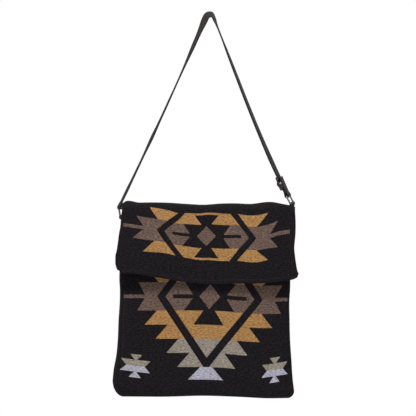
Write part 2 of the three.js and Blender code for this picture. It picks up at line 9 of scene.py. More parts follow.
import bmesh
import bpy
import numpy as np
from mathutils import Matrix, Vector


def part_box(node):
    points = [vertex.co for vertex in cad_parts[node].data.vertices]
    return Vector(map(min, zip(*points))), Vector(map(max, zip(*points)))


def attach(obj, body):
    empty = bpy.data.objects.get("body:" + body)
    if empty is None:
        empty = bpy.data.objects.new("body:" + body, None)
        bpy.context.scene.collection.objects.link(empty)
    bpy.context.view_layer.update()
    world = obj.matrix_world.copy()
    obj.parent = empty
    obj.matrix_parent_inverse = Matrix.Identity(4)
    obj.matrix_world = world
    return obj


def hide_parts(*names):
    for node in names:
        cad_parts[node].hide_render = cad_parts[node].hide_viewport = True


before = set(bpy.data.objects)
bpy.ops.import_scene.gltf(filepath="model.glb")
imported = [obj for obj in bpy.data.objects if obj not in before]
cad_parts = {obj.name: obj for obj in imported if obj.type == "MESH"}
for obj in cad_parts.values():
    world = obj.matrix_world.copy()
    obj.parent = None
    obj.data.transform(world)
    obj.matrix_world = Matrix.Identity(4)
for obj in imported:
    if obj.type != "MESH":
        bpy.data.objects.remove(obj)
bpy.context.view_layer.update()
MM = 0.001


def node_box(node):
    """A node's lowest and highest corners, in millimetres."""
    return [np.array(corner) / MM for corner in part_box(node)]


def node_middle(node):
    return sum(node_box(node)) / 2


gusset_low, gusset_high = node_box("gusset")
mouth = gusset_high[2]
front_y = gusset_low[1]
back_y = gusset_high[1]
# Cloth is drawn about the bag's middle, which hangs a little left of the carrying point
bag_middle = node_middle("gusset") * (1, 0, 0)


# Curves, outlines and grids


def curve_through(knots, at):
    """A smooth curve through given (place, value) pairs, level beyond its ends."""
    place, value = np.array(sorted(knots), float).T
    slope = np.gradient(value, place)
    at = np.clip(at, place[0], place[-1])
    i = np.clip(np.searchsorted(place, at) - 1, 0, len(place) - 2)
    span = place[i + 1] - place[i]
    u = (at - place[i]) / span
    ends = (1 + 2 * u) * (1 - u) ** 2 * value[i] + u**2 * (3 - 2 * u) * value[i + 1]
    return ends + span * u * (1 - u) * ((1 - u) * slope[i] - u * slope[i + 1])


def inside(polygon, x, row):
    """Which points lie inside a polygon of (x, row) corners."""
    hit = np.zeros(x.shape, bool)
    for (x0, row0), (x1, row1) in zip(polygon, polygon[1:] + polygon[:1]):
        if row0 == row1:
            continue
        crosses = (row0 > row) != (row1 > row)
        hit ^= crosses & (x < x0 + (x1 - x0) * (row - row0) / (row1 - row0))
    return hit


def joined(*coordinates):
    """Points from their coordinates. A single number is spread over the others."""
    return np.stack(np.broadcast_arrays(*coordinates), axis=-1)


def run_along(points):
    """The distance along a line, or along each column of a grid, to each of its points."""
    steps = np.linalg.norm(np.diff(points, axis=0), axis=-1)
    return np.cumsum(np.concatenate([0 * steps[:1], steps]), axis=0)


def at_places(places, run, values):
    """Rows of values that lie along a run, read at other places along it."""
    return joined(*[np.interp(places, run, column) for column in values.T])


def resampled(points, count):
    """A polyline's points spread evenly along it."""
    run = run_along(points)
    return at_places(np.linspace(0, run[-1], count), run, points)


def between(first, last, share):
    return first + (last - first) * share


def unit(vectors):
    return vectors / np.maximum(np.linalg.norm(vectors, axis=-1, keepdims=True), 1e-9)


def patch_between(left, right, bottom, top):
    """A grid filling four border lines. Its rows run from the top down, its columns from left to right."""
    down = np.linspace(0, 1, len(left))[:, None, None]
    across = np.linspace(0, 1, len(top))[None, :, None]
    sides = left[:, None] * (1 - across) + right[:, None] * across
    ends = top[None] * (1 - down) + bottom[None] * down
    corners = (top[0] * (1 - across) + top[-1] * across) * (1 - down)
    corners = corners + (bottom[0] * (1 - across) + bottom[-1] * across) * down
    return sides + ends - corners


def bump(at, middle, reach):
    """A soft hump, 1 at its middle."""
    return np.exp(-(((at - middle) / reach) ** 2))


# Meshes


def new_piece(name, vertices, faces, materials, crease=50):
    """A closed mesh in millimetres, faces turned outward, smooth but for its creases."""
    mesh = bpy.data.meshes.new(name)
    mesh.from_pydata((np.asarray(vertices) * MM).tolist(), [], [list(map(int, f)) for f in faces])
    for material in materials:
        mesh.materials.append(material)
    form = bmesh.new()
    form.from_mesh(mesh)
    bmesh.ops.recalc_face_normals(form, faces=form.faces)
    form.to_mesh(mesh)
    form.free()
    mesh.polygons.foreach_set("use_smooth", np.ones(len(mesh.polygons), bool))
    mesh.set_sharp_from_angle(angle=radians(crease))
    piece = bpy.data.objects.new(name, mesh)
    bpy.context.scene.collection.objects.link(piece)
    return piece


def lay_flat(piece, flat):
    """Gives each vertex its place on the flat cloth, in metres, for the weave to follow."""
    mesh = piece.data
    layer = mesh.uv_layers.new(name="flat")
    corners = np.zeros(len(mesh.loops), int)
    mesh.loops.foreach_get("vertex_index", corners)
    layer.data.foreach_set("uv", (flat[corners] * MM).astype(np.float32).ravel())


def cell_corners(grid):
    """The corners of a grid's cells, in turn."""
    return [grid[:-1, :-1], grid[:-1, 1:], grid[1:, 1:], grid[1:, :-1]]


def quads_of(grid):
    return joined(*cell_corners(grid)).reshape(-1, 4)


def shifted(grid, step, axis):
    """Each point's neighbour along an axis of a grid, or the point itself at the border."""
    size = grid.shape[axis]
    return np.take(grid, np.clip(np.arange(size) + step, 0, size - 1), axis=axis)


halvings = 7  # of the way to a colour's edge
centre_share = 0.45  # of a triangle's centre in the probes near its corners


def fitted(middle, colour_of):
    """Moves each point that lies within half a cell of a colour's edge onto that edge."""
    here = colour_of(middle)
    best = np.full(here.shape, np.inf)
    moved = middle.copy()
    for axis in (0, 1):
        for step in (-1, 1):
            half = (shifted(middle, step, axis) - middle) / 2
            crosses = colour_of(middle + half) != here
            low, high = np.zeros(here.shape), np.ones(here.shape)
            for _ in range(halvings):
                share = (low + high) / 2
                same = colour_of(middle + half * share[..., None]) == here
                low, high = np.where(same, share, low), np.where(same, high, share)
            nearer = crosses & (high < best)
            best[nearer] = high[nearer]
            moved[nearer] = (middle + half * high[..., None])[nearer]
    return moved


def painted_faces(middle, index, colour_of):
    """Triangles of a grid's outer face with their colours. Each cell is cut along the better diagonal."""
    corners = np.stack(cell_corners(middle)).reshape(4, -1, 3)
    cuts = []
    for order in ([0, 1, 2], [0, 2, 3]), ([1, 2, 3], [1, 3, 0]):
        colours, strays = [], 0
        for triangle in order:
            points = corners[triangle]
            centre = points.mean(axis=0)
            colour = colour_of(centre)
            colours.append(colour)
            probes = centre * centre_share + points * (1 - centre_share)
            strays = strays + np.sum(colour_of(probes) != colour, axis=0)
        cuts.append((order, colours, strays))
    (first, first_colours, first_strays), (second, second_colours, second_strays) = cuts
    turned = (second_strays < first_strays)[:, None]
    quads = quads_of(index)
    faces = [np.where(turned, quads[:, b], quads[:, a]) for a, b in zip(first, second)]
    colours = [np.where(turned[:, 0], b, a) for a, b in zip(first_colours, second_colours)]
    return np.concatenate(faces), np.concatenate(colours)


def cloth_piece(name, middle, thickness, flat, materials, colour_of=None):
    """A closed cloth about a grid of points, its outer face painted by place."""
    rows, columns = middle.shape[:2]
    outer, inner = np.arange(2 * rows * columns).reshape(2, rows, columns)
    if colour_of:
        middle = fitted(middle, colour_of)
        outer_faces, colours = painted_faces(middle, outer, colour_of)
    else:
        outer_faces = quads_of(outer)
        colours = np.zeros(len(outer_faces), int)
    normal = unit(np.cross(np.gradient(middle, axis=0), np.gradient(middle, axis=1)))
    half = np.broadcast_to(thickness, (rows, columns))[..., None] / 2
    vertices = np.concatenate([middle + normal * half, middle - normal * half]).reshape(-1, 3)
    rims = [np.concatenate([g[0, :-1], g[:-1, -1], g[-1, :0:-1], g[:0:-1, 0]]) for g in (outer, inner)]
    walls = joined(rims[0], np.roll(rims[0], -1), np.roll(rims[1], -1), rims[1])
    plain_faces = np.concatenate([quads_of(inner)[:, ::-1], walls])
    piece = new_piece(name, vertices + bag_middle, outer_faces.tolist() + plain_faces.tolist(), materials)
    lay_flat(piece, np.tile(flat.reshape(-1, 2), (2, 1)))
    slots = np.pad(colours, (0, len(plain_faces)))
    piece.data.polygons.foreach_set("material_index", slots.astype(np.int32))
    return piece


def rim_thickness(rows, columns, thickness, edges):
    """A cloth's thickness over its grid, thinned over the last cells for a soft rim."""
    from_ends = [np.minimum(np.arange(count), np.arange(count)[::-1]) for count in (rows, columns)]
    return thickness * np.interp(np.minimum.outer(*from_ends), np.arange(len(edges)), edges)


# Materials


def linear(srgb):
    """A colour of 0 to 255 in sRGB as the linear one that a socket takes."""
    value = np.array(srgb) / 255
    high = ((value + 0.055) / 1.055) ** 2.4
    return (*np.where(value <= 0.04045, value / 12.92, high), 1)


def grey(level):
    return (level, level, level, 1)


class Nodes:
    """The nodes of a material or the world, added by type and linked by socket name."""

    def __init__(self, owner, shader="Principled BSDF"):
        owner.use_nodes = True
        self.owner = owner
        self.tree = owner.node_tree
        self.shader = self.tree.nodes[shader]

    def add(self, kind, inputs=None, **settings):
        node = self.tree.nodes.new("ShaderNode" + kind)
        for key, value in settings.items():
            setattr(node, key, value)
        for key, value in (inputs or {}).items():
            self.feed(node.inputs[key], value)
        return node

    def feed(self, socket, value):
        if isinstance(value, bpy.types.NodeSocket):
            self.tree.links.new(value, socket)
        else:
            socket.default_value = value

    def finish(self, **inputs):
        for key, value in inputs.items():
            self.feed(self.shader.inputs[key.replace("_", " ")], value)
        return self.owner

    def flat_place(self, scale):
        place = self.add("UVMap", uv_map="flat")
        return self.add("Mapping", {"Vector": place.outputs["UV"], "Scale": scale}).outputs["Vector"]

    def noise(self, scale, detail=2.0):
        node = self.add("TexNoise", {"Vector": self.flat_place(scale), "Scale": 1.0, "Detail": detail})
        return node.outputs["Fac"]

    def ramp(self, value, low, high, to_low=0.0, to_high=1.0):
        ends = {"From Min": low, "From Max": high, "To Min": to_low, "To Max": to_high}
        return self.add("MapRange", {"Value": value, **ends}).outputs["Result"]

    def mix(self, factor, first, second):
        node = self.add("Mix", data_type="RGBA")
        self.feed(node.inputs[0], factor)
        self.feed(node.inputs[6], linear(first))
        self.feed(node.inputs[7], linear(second))
        return node.outputs[2]

    def maths(self, operation, first, second):
        return self.add("Math", {0: first, 1: second}, operation=operation).outputs[0]

    def relief(self, height, strength, depth):
        face = self.add("Bump", {"Height": height, "Strength": strength, "Distance": depth})
        return face.outputs["Normal"]


def material_nodes(name):
    return Nodes(bpy.data.materials.new(name))


# One float of yarn in the weave, in metres, and the scale that brings it to the weave's own unit
yarn_width = 0.0019
yarn_height = 0.001
# The gap between yarns is sunk in the bump and darkened with painted shade
yarn_gap = 0.0001
yarn_scale = 100
# A wave's period is about 0.314 of its own unit
rib_spacing = 2.2
rib_scale = 0.314 / (rib_spacing * MM)
# Details to a metre of flat cloth, across and along it
fleck_scale = (250, 600, 1)
dye_scale = (45, 90, 1)
grain_scale = (620, 900, 1)
webbing_scale = (900, 1400, 1)
cotton_scale = (1500, 1500, 1)
scuff_scale = 420


def wool(name, colour, fleck):
    """Woven wool: yarns laid in rows, flecks of another shade along them, uneven dye, painted shade in the
    gaps between the yarns and a rough face.
    """
    nodes = material_nodes(name)
    yarns = nodes.add(
        "TexBrick",
        {
            "Vector": nodes.flat_place((1, 1, 1)),
            "Color1": grey(1.12),
            "Color2": grey(0.94),
            # The mortar grey is painted shade in the gaps between yarns; the two brick greys are each
            # yarn's own tone
            "Mortar": grey(0.84),
            "Scale": yarn_scale,
            "Mortar Size": yarn_gap * yarn_scale,
            "Mortar Smooth": 1.0,
            "Brick Width": yarn_width * yarn_scale,
            "Row Height": yarn_height * yarn_scale,
        },
    )
    flecks = nodes.ramp(nodes.noise(fleck_scale, 4.0), 0.36, 0.62)
    yarn = nodes.mix(flecks, fleck, colour)
    dye = nodes.ramp(nodes.noise(dye_scale), 0.3, 0.7, 0.93, 1.07)
    # Dye and each yarn's own tone, times the painted shade in the gaps between yarns
    light = nodes.maths("MULTIPLY", dye, yarns.outputs["Color"])
    shade = nodes.add("HueSaturation", {"Value": light, "Color": yarn})
    height = nodes.maths("SUBTRACT", nodes.noise(grain_scale), yarns.outputs["Fac"])
    return nodes.finish(
        Base_Color=shade.outputs["Color"],
        Roughness=0.95,
        Specular_IOR_Level=0.03,
        Sheen_Weight=0.02,
        Sheen_Roughness=0.6,
        Normal=nodes.relief(height, 0.4, 0.0005),
    )


def ribbed_webbing(name, colour, groove):
    """Webbing with ribs along it and the fine steps of its weave across. It is darker where its height is
    low: painted shade between the ribs, and random tone from the weave's noise.
    """
    nodes = material_nodes(name)
    ribs = nodes.add("TexWave", {"Vector": nodes.flat_place((rib_scale, 0, 1)), "Scale": 1.0})
    height = nodes.maths("ADD", ribs.outputs["Fac"], nodes.noise(webbing_scale, 1.0))
    # The groove colour is painted shade where the ribs' height is low, with random tone from the noise
    return nodes.finish(
        Base_Color=nodes.mix(nodes.ramp(height, 0.4, 1.3), groove, colour),
        Roughness=0.85,
        Specular_IOR_Level=0.04,
        Normal=nodes.relief(height, 0.5, 0.0004),
    )


def cotton_cloth(name, colour, shadow):
    nodes = material_nodes(name)
    weave = nodes.noise(cotton_scale)
    return nodes.finish(
        Base_Color=nodes.mix(nodes.ramp(weave, 0.35, 0.65), shadow, colour),
        Roughness=0.9,
        Specular_IOR_Level=0.04,
        Normal=nodes.relief(weave, 0.3, 0.0002),
    )


def metal(name, colour, worn, roughness, metallic):
    """Metal with faint scuffs in its polish or lacquer."""
    nodes = material_nodes(name)
    place = nodes.add("TexCoord").outputs["Object"]
    noise = nodes.add("TexNoise", {"Vector": place, "Scale": scuff_scale, "Detail": 4.0})
    scuffs = noise.outputs["Fac"]
    shade = nodes.mix(nodes.ramp(scuffs, 0.55, 0.7), colour, worn)
    rough = nodes.ramp(scuffs, 0.3, 0.7, roughness * 0.8, roughness * 1.3)
    return nodes.finish(Base_Color=shade, Metallic=metallic, Roughness=rough)


wools = [
    wool("black_wool", (34, 30, 34), (15, 13, 14)),
    wool("taupe_wool", (116, 96, 87), (74, 60, 53)),
    wool("gold_wool", (179, 136, 86), (126, 93, 56)),
    wool("sage_wool", (155, 147, 135), (108, 101, 91)),
    wool("lilac_wool", (182, 181, 195), (132, 130, 142)),
]
BLACK, TAUPE, GOLD, SAGE, LILAC = range(len(wools))
cotton = cotton_cloth("lining_cotton", (40, 37, 38), (26, 24, 25))
# The second colour is painted shade between the webbing's ribs
webbing = ribbed_webbing("strap_webbing", (54, 50, 50), (41, 38, 38))
thread = cotton_cloth("thread", (62, 57, 58), (42, 38, 39))
hem_thread = cotton_cloth("hem_thread", (54, 50, 56), (36, 33, 37))
nickel = metal("ring_metal", (108, 104, 100), (84, 80, 76), 0.2, 1.0)
lacquer = metal("slide_metal", (30, 29, 30), (58, 56, 55), 0.35, 0.6)


# The woven chart: half widths, and rows down from a medallion's middle


def upended(shape):
    return [(x, -row) for x, row in shape]


def whole(half):
    """A shape that is the same above and below row 0, from its corners on one side."""
    return half + upended(half[:0:-1])


def medallion(chart):
    """Shapes of one half of a medallion, as (colour, corners)."""
    star = [
        (chart.outer(0), 0), (chart.outer(1), 1), (chart.star_tip, 1),
        (chart.star_notch, chart.arm), (chart.arm_end, chart.arm),
    ]
    half_hexagon = [
        (chart.inner(0), 0), (chart.inner(1), -1), (chart.reach, -1),
        (chart.waist, -chart.slit), (chart.slit_end, -chart.slit),
    ]
    diamond = [(0, -chart.diamond_rows), (chart.diamond_half, 0), (0, chart.diamond_rows)]
    return [(TAUPE, whole(star)), (TAUPE, whole(half_hexagon)), (TAUPE, diamond)]


def corner_tooth(chart):
    return [
        (chart.outer(1), 1), (chart.outer(2), 2), (chart.gold_top + chart.tooth, 2),
        (chart.gold_top, 1),
    ]


def closed_gold_row(chart):
    return [
        (chart.inner(2), 2), (chart.inner(1), 1), (chart.neck, 1),
        (chart.triangle, 2 - chart.strip), (0, 2 - chart.strip), (0, 2),
    ]


def two_teeth(chart, row):
    tops = [chart.gold_top - chart.tooth * (row - 1 + i) for i in range(2)]
    return [
        (chart.outer(row), row), (chart.outer(row + 2), row + 2),
        (tops[1] + chart.tooth, row + 2), (tops[1], row + 1),
        (tops[0] + chart.tooth, row + 1), (tops[0], row),
    ]


def long_point(chart):
    """Shapes below the front's medallion: gold rows, sage rows and the lilac foot."""
    heart = [
        (0, 2), (chart.triangle, 2), (chart.neck, 1), (chart.inner(1), 1),
        (chart.inner(3), 3), (0, 3),
    ]
    sage_point = [(0, 3), (chart.inner(3), 3), (0, chart.inner_middle / chart.inner_step)]
    foot_top = chart.gold_top - chart.tooth * 4
    foot = [(0, 5), (foot_top, 5), (foot_top + chart.tooth, 6), (0, 6)]
    return [
        (GOLD, heart), (GOLD, two_teeth(chart, 1)), (SAGE, two_teeth(chart, 3)),
        (SAGE, sage_point), (LILAC, foot),
    ]


def chart_of(outer, inner, **sizes):
    chart = SimpleNamespace(inner_middle=inner[0], inner_step=inner[1], **sizes)
    chart.outer = lambda row: outer[0] - outer[1] * row
    chart.inner = lambda row: inner[0] - inner[1] * row
    return chart


front_chart = chart_of(
    outer=(84.5, 16), inner=(71, 16.35), gold_top=83.5, tooth=18.5, star_tip=115,
    star_notch=104, arm_end=150, arm=0.128, slit=0.143, slit_end=58.9, waist=27.2,
    reach=40.6, neck=9.3, triangle=24.2, strip=0.17, diamond_half=16.5, diamond_rows=0.89,
)
flap_chart = chart_of(
    outer=(79.4, 15.5), inner=(67.2, 15.6), gold_top=79.5, tooth=19, star_tip=114,
    star_notch=100.5, arm_end=133, arm=0.15, slit=0.138, slit_end=54.5, waist=26.4,
    reach=37.6, neck=7.8, triangle=19.3, strip=0.18, diamond_half=15.2, diamond_rows=0.83,
)

# Side stars, as half widths and millimetres below their top
star_upper = [(0, 0), (9.2, 0), (1.6, 9), (22.2, 8.6), (14.2, 19), (0, 19)]
star_lower = [(0, 19), (14.2, 19), (22.8, 28.6), (1.6, 28.8), (9.4, 38.5), (0, 38.5)]


def paint_shapes(paint, shapes, x, row):
    for colour, shape in shapes:
        paint[inside(shape, np.abs(x), row)] = colour


def paint_side_star(paint, x, z, star):
    """A small star on cloth that is pulled askew: its rows fall to the right, its upright leans."""
    right = x - star.middle
    down = star.top - z - star.fall * right
    right = (right + star.lean * down) / star.width
    paint_shapes(paint, [(SAGE, star_upper), (LILAC, star_lower)], right, down / star.height)


left_star = SimpleNamespace(middle=-109.2, top=-539, fall=0.125, lean=0.07, width=1.05, height=0.965)
right_star = SimpleNamespace(middle=112.6, top=-543.8, fall=-0.152, lean=0.02, width=0.905, height=1.035)


# Bag body: its silhouette from the mouth down the left, along the bottom and up the right

left_side = [
    (-323, -130), (-345, -131.4), (-370, -134), (-405, -136.4), (-420, -136.6),
    (-434, -135.8), (-452, -135.9), (-484, -137.9), (-516, -139.2), (-540, -141.4),
    (-564, -145.8), (-581, -147.5),
]
right_side = [
    (-323, 132.5), (-380, 136), (-420, 137.6), (-434, 137.4), (-452, 136.2), (-484, 136.5),
    (-516, 137.3), (-548, 139.4), (-580, 141.6), (-598, 143.8),
]
bottom_edge = [(-129.5, -607.2), (-60, -607.2), (0, -605.9), (60, -607.9), (100, -609.9), (132.6, -609.6)]
corner_angles = np.linspace(0, pi / 2, 16)
edge_points = 60
outline_points = 420


def silhouette():
    left_z = np.linspace(mouth, left_side[-1][0], edge_points)
    left = joined(curve_through(left_side, left_z), left_z)
    right_z = np.linspace(right_side[-1][0], mouth, edge_points)
    right = joined(curve_through(right_side, right_z), right_z)
    bottom_x = np.linspace(bottom_edge[0][0], bottom_edge[-1][0], edge_points)
    bottom = joined(bottom_x, curve_through(bottom_edge, bottom_x))

    def corner(side, end):
        x = between(end[0], side[0], np.cos(corner_angles))
        return joined(x, between(side[1], end[1], np.sin(corner_angles)))

    left_corner = corner(left[-1], bottom[0])
    right_corner = corner(right[0], bottom[-1])[::-1]
    pieces = [left, left_corner[1:-1], bottom, right_corner[1:-1], right]
    return resampled(np.concatenate(pieces), outline_points)


outline = silhouette()
bag_foot = outline[:, 1].min()
outline_share = np.linspace(0, 1, outline_points)
outline_along = unit(np.gradient(outline, axis=0))
inward = joined(-outline_along[:, 1], outline_along[:, 0])
# How far inside the silhouette the front seam lies, by share of the outline: at left the gusset shows
seam_inset = [
    (0, 7.5), (0.25, 8), (0.3, 10), (0.325, 10), (0.36, 4.5), (0.5, 2.4), (0.64, 2.6),
    (0.7, 3), (1, 2.4),
]
front_seam = outline + inward * curve_through(seam_inset, outline_share)[:, None]
back_inset = 2.4
back_seam = outline + inward * back_inset
left_corner_point = int(0.326 * outline_points)
right_corner_point = int(0.668 * outline_points)
seam_depth = 3.5
seam_y = front_y + seam_depth


def body_patch(seam, top_z, rows, columns):
    """A grid of (x, z) filling a seam's outline up to a level top."""
    left = seam[:left_corner_point]
    left = resampled(left[left[:, 1] <= top_z + 1], rows)
    right = seam[right_corner_point:][::-1]
    right = resampled(right[right[:, 1] <= top_z + 1], rows)
    bottom = seam[left_corner_point - 1 : right_corner_point + 1].copy()
    bottom[0] = left[-1]
    bottom[-1] = right[-1]
    bottom = resampled(bottom, columns)
    top = np.linspace(left[0], right[0], columns)
    return patch_between(left, right, bottom, top)


def from_edges(grid):
    """How far each point of a grid is from its left, right and lowest edges."""
    return [np.linalg.norm(grid - edge, axis=-1) for edge in (grid[:, :1], grid[:, -1:], grid[-1:])]


def edge_roll(grid, reach):
    """How far a panel's cloth has turned towards its seam, 1 at the seam."""
    return np.clip(sum(np.exp(-distance / reach) for distance in from_edges(grid)), 0, 1)


front_thickness = 2.0
rim_edges = (0.5, 0.85, 1)
front_rows, front_columns = 202, 196
front_roll = 3.2
belly_depth = 2.5
belly_half_width = 140
# Waves of the front's cloth, as height, length across and length up, and a pucker at its right
front_waves = [(0.9, 31, 70), (0.8, -90, 37)]
pucker_height = 1.2
pucker_middle = 70
pucker_reach = 26
pucker_length = 42


def front_cloth():
    grid = body_patch(front_seam, mouth, front_rows, front_columns)
    x, z = grid[..., 0], grid[..., 1]
    fullness = np.clip((z - bag_foot) / (mouth - bag_foot), 0, 1)
    bulge = np.cos(np.clip(x / belly_half_width, -1, 1) * pi / 2)
    belly = belly_depth * np.sin(pi * np.sqrt(fullness)) * bulge
    waves = sum(height * np.sin(x / across + z / up) for height, across, up in front_waves)
    waves += pucker_height * bump(x, pucker_middle, pucker_reach) * np.sin(z / pucker_length)
    roll = edge_roll(grid, front_roll)
    y = front_y - (belly + waves) * (1 - roll) + (seam_y - front_y) * roll
    thickness = rim_thickness(front_rows, front_columns, front_thickness, rim_edges)
    return cloth_piece("front_cloth", joined(x, y, z), thickness, grid, wools, front_colour)


front_pattern_shift = [(0, 0), (30, -1.2), (55, -3.4), (78, -5.1), (140, -5.1)]
front_pattern_x = 8.6
front_pattern_z = -446.1
front_pattern_lean = 1.2
front_row_height = 22.6
# Rows from this one down are less high
low_row = 5
low_row_height = 20


def front_colour(points):
    x, z = points[..., 0], points[..., 2]
    paint = np.zeros(x.shape, np.int32)
    row = (front_pattern_z + curve_through(front_pattern_shift, x) - z) / front_row_height
    row = np.where(row > low_row, low_row + (row - low_row) * front_row_height / low_row_height, row)
    chart_x = x - front_pattern_x + front_pattern_lean * row
    shapes = medallion(front_chart) + long_point(front_chart)
    shapes += [(GOLD, upended(corner_tooth(front_chart))), (GOLD, upended(closed_gold_row(front_chart)))]
    paint_shapes(paint, shapes, chart_x, row)
    for star in (left_star, right_star):
        paint_side_star(paint, x, z, star)
    return paint


# Back panel and flap, one cloth

fold_left = -127
fold_right = 129
fold_base = -310
fold_top = -298
fold_dips = [
    (-129, 3.4), (-121, 3.9), (-106, 1.2), (-92, 1.3), (-57, 0.8), (-30, -1), (0, -2.4),
    (25, -0.6), (50, -0.2), (72, -1.1), (108, 2), (130, -2.2),
]
flap_left = [
    (-310, -132.2), (-318, -133.4), (-330, -134.4), (-343, -136.8), (-356, -138.6),
    (-369, -140.3), (-382, -141.9), (-394, -141.8),
]
flap_right = [
    (-310, 144.9), (-316, 145.3), (-328, 145.8), (-345, 145.4), (-366, 143.6), (-375, 144.6),
    (-396, 147.8), (-409, 150.4),
]
hem = [
    (-141.8, -394), (-140.2, -400.5), (-135.7, -405), (-110, -409.5), (-77.6, -415.2),
    (-47.2, -420.8), (0.8, -426.4), (56.8, -425.3), (92, -424.8), (120, -422.3),
    (137.6, -419.9), (144.6, -417.6), (148.9, -414), (150.4, -409),
]
back_middle_y = back_y - front_thickness / 2
flap_top_y = -16.4
flap_hem_y = -21
# How far the hem's ends lift off the front, by place across
hem_stand = [(-142, 11.5), (-90, 9), (-40, 3), (0, 1), (50, 4.6), (100, 8), (150, 2.5)]
hem_wave = 0.8
hem_wave_length = 26
hem_wave_start = 0.6
fold_middle = (back_middle_y + flap_top_y) / 2
fold_reach = (back_middle_y - flap_top_y) / 2
fold_spread = (radians(106), radians(134))  # where the front half comes out past the rings
back_top = -336
back_roll = 4
back_turn_in = 2
back_sag = 1.6
back_sag_across = 44
back_sag_up = 39
back_rows, neck_rows, fold_rows, flap_rows = 76, 8, 30, 82
flap_columns = 204


def flap_y(x, run):
    """How far forward the flap stands, by place across and share of its run from fold to hem."""
    slope = between(flap_top_y, flap_hem_y, run)
    waves = hem_wave * np.sin(x / hem_wave_length + hem_wave_start)
    return slope - (waves + curve_through(hem_stand, x)) * run


def flap_place(across, run):
    """Points of the flap by share of its width and share of its run from fold to hem."""
    left_x = curve_through(flap_left, between(fold_base, hem[0][1], run))
    right_x = curve_through(flap_right, between(fold_base, hem[-1][1], run))
    x = between(left_x, right_x, across)
    z = between(fold_base, curve_through(hem, x), run)
    return joined(x, flap_y(x, run), z)


hem_depth = 6
groove_thickness = 1.4
# Thickness of the flap by distance from its edge: a turned hem, then the groove of its stitches
hem_section = [
    (0, 1.4), (1.4, 2.6), (4.6, 2.7), (hem_depth, groove_thickness), (7.4, 2.1),
    (9, front_thickness),
]


def flap_thickness(flap):
    """The flap's thickness over its grid, turned under at its sides and its lower edge."""
    return np.interp(np.minimum.reduce(from_edges(flap)), *np.array(hem_section).T)


def back_and_flap_cloth():
    """The back from its foot up, a neck to the fold's width, the fold and the flap down to its hem."""
    grid = body_patch(back_seam, back_top, back_rows, flap_columns)[::-1]
    back_x, back_z = grid[..., 0], grid[..., 1]
    sag = back_sag * np.sin(back_x / back_sag_across) * np.sin(back_z / back_sag_up)
    roll = edge_roll(grid[::-1], back_roll)[::-1]
    back = joined(back_x, back_middle_y + sag * (1 - roll) - back_turn_in * roll, back_z)
    across = np.linspace(0, 1, flap_columns)
    fold_x = between(fold_left, fold_right, across)
    neck = []
    for rise in np.linspace(0, 1, neck_rows)[1:-1]:
        ease = rise * rise * (3 - 2 * rise)
        x = back[-1, :, 0] * (1 - ease) + fold_x * ease
        y = back[-1, :, 1] * (1 - rise) + back_middle_y * rise
        neck.append(joined(x, y, between(back_top, fold_base, rise)))
    fold_rise = fold_top - fold_base + curve_through(fold_dips, fold_x)
    fold = []
    for angle in np.linspace(0, pi, fold_rows):
        spread = np.interp(angle, fold_spread, (0, 1))
        left_x = between(fold_left, flap_left[0][1], spread)
        right_x = between(fold_right, flap_right[0][1], spread)
        x = between(left_x, right_x, across)
        y = fold_middle + fold_reach * np.cos(angle)
        fold.append(joined(x, y, fold_base + fold_rise * np.sin(angle)))
    flap = [flap_place(across, run) for run in np.linspace(0, 1, flap_rows)[1:]]
    middle = np.concatenate([back, neck, fold, flap])
    flat = joined(middle[..., 0], run_along(middle))
    thickness = rim_thickness(len(middle), flap_columns, front_thickness, rim_edges)
    thickness[-len(flap) :] = flap_thickness(np.array(flap))
    return cloth_piece("back_and_flap_cloth", middle, thickness, flat, wools, flap_colour)


flap_pattern_x = 2.9
flap_pattern_z = -349.4
flap_pattern_shift = [
    (-133, 18), (-112, 15), (-100, 13), (-77, 9.7), (-60, 6.5), (-47, 3.5), (-30, 1.5),
    (-8, -0.5), (0, 0), (27, -1), (54, -1.2), (69, -3.5), (85, -3.5), (100, -1), (115, 4),
    (133, 7),
]
flap_row_below = [
    (-112, 18.8), (-98, 18.8), (-60, 17.6), (-45, 17.8), (-30, 18.4), (0, 19.3), (60, 19.4),
    (85, 19), (98, 18.6), (106, 20), (115, 21.8), (133, 22),
]
flap_row_above = [
    (-112, 17.2), (-90, 17), (-60, 17), (-45, 16.6), (-30, 17.4), (0, 18.5), (60, 17.8),
    (115, 19.9),
]
# How far the pattern's two sides are pulled to the right, by row, in full from a distance off its middle
left_pull = [(-2, 8), (-1, 2.7), (0, 0), (1, -3.5), (2, -2.7)]
left_pull_reach = 90
left_pull_power = 1.5
right_pull = [(-2, 2.4), (-1, 1.5), (0, 1.2), (1, 0.8), (2, 0.8)]
right_pull_share = ((0, 45, 62, 98), (0, 1, 1, 0.4))


def flap_colour(points):
    """The flap's pattern, which ends behind the fold's top."""
    x, z = points[..., 0] - flap_pattern_x, points[..., 2]
    paint = np.zeros(x.shape, np.int32)
    drop = flap_pattern_z + curve_through(flap_pattern_shift, x) - z
    row = drop / curve_through(flap_row_above, x)
    row = np.where(drop > 0, drop / curve_through(flap_row_below, x), row)
    pull = curve_through(left_pull, row) * np.clip(-x / left_pull_reach, 0, 1) ** left_pull_power
    pull += curve_through(right_pull, row) * np.interp(x, *right_pull_share)
    x = x - pull
    tooth, gold_row = corner_tooth(flap_chart), closed_gold_row(flap_chart)
    shapes = medallion(flap_chart) + [(GOLD, tooth), (GOLD, gold_row)]
    shapes += [(GOLD, upended(tooth)), (GOLD, upended(gold_row))]
    paint_shapes(paint, shapes, x, row)
    paint[points[..., 1] > fold_middle] = BLACK
    return paint


# Gusset: a strip from the back seam round the silhouette to the front seam

gusset_columns = 18
gusset_thickness = 1.8
gusset_rim = (0.7, 1)
gusset_flat = (30, 842)
gusset_swell = 0.8
gusset_middle = outline + inward * gusset_thickness / 2
back_seam_y = back_y - 1.5


